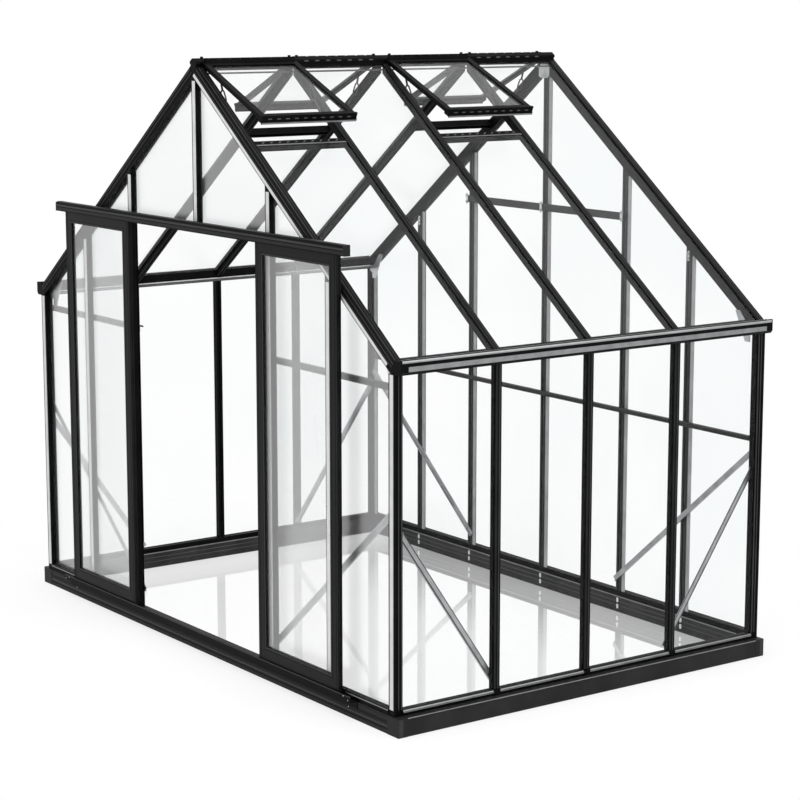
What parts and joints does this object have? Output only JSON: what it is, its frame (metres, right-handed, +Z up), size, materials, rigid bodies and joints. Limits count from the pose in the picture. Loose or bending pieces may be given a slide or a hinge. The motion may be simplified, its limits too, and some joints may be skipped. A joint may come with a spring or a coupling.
{
  "type": "greenhouse",
  "caption": "Walk-in greenhouse: dark aluminium frame with clear sheet glazing, a double sliding door in the front gable, open roof vents and gutters.",
  "frame": {"origin": "centre of the footprint at ground level, door tracks included", "axes": "+Z up; +Y from the door gable to the rear gable; +X to the right when facing the door from outside"},
  "size_m": [3.48, 2.3194, 2.996],
  "materials": {
    "black_frame": "satin powder coat",
    "brace_alloy": "mill finish, dark",
    "bare_fittings": "bare mill finish",
    "glazing": "clear smooth sheet"
  },
  "bodies": {
    "house": {"front_base": "black_frame", "rear_base": "black_frame", "side_bases": "black_frame", "base_corners": "black_frame", "gable_sills": "black_frame", "side_sills": "black_frame", "corner_posts": "black_frame", "left_wall_bars": "black_frame", "right_wall_bars": "black_frame", "left_gutter": "black_frame", "right_gutter": "black_frame", "ridge_bar": "black_frame", "front_rafters": "black_frame", "rear_rafters": "black_frame", "left_rafters": "black_frame", "right_rafters": "black_frame", "front_gable_bars": "black_frame", "door_jambs": "black_frame", "door_lintel": "black_frame", "door_header": "black_frame", "door_bottom_track": "black_frame", "rear_gable_bars": "black_frame", "rear_crossbar": "black_frame", "rear_mid_rail": "black_frame", "front_side_rails": "black_frame", "gable_braces": "brace_alloy", "wall_braces": "brace_alloy", "left_wall_glazing": "glazing", "right_wall_glazing": "glazing", "left_roof_glazing": "glazing", "right_roof_glazing": "glazing", "front_gable_glazing": "glazing", "rear_gable_glazing": "glazing", "vent_sills": "black_frame", "roof_vents": "black_frame", "vent_panes": "glazing", "vent_stays": "bare_fittings", "eave_gussets": "bare_fittings", "ridge_plates": "bare_fittings"},
    "left_door": {"left_door_frame": "black_frame", "left_door_pane": "glazing", "left_door_hangers": "bare_fittings"},
    "right_door": {"right_door_frame": "black_frame", "right_door_pane": "glazing", "right_door_hangers": "bare_fittings"}
  },
  "joints": [
    {"name": "left_door_slide", "type": "slide", "parent": "house", "child": "left_door", "axis": [1, 0, 0], "range_m": [-0.07, 0.612]},
    {"name": "right_door_slide", "type": "slide", "parent": "house", "child": "right_door", "axis": [-1, 0, 0], "range_m": [-0.073, 0.609]}
  ]
}
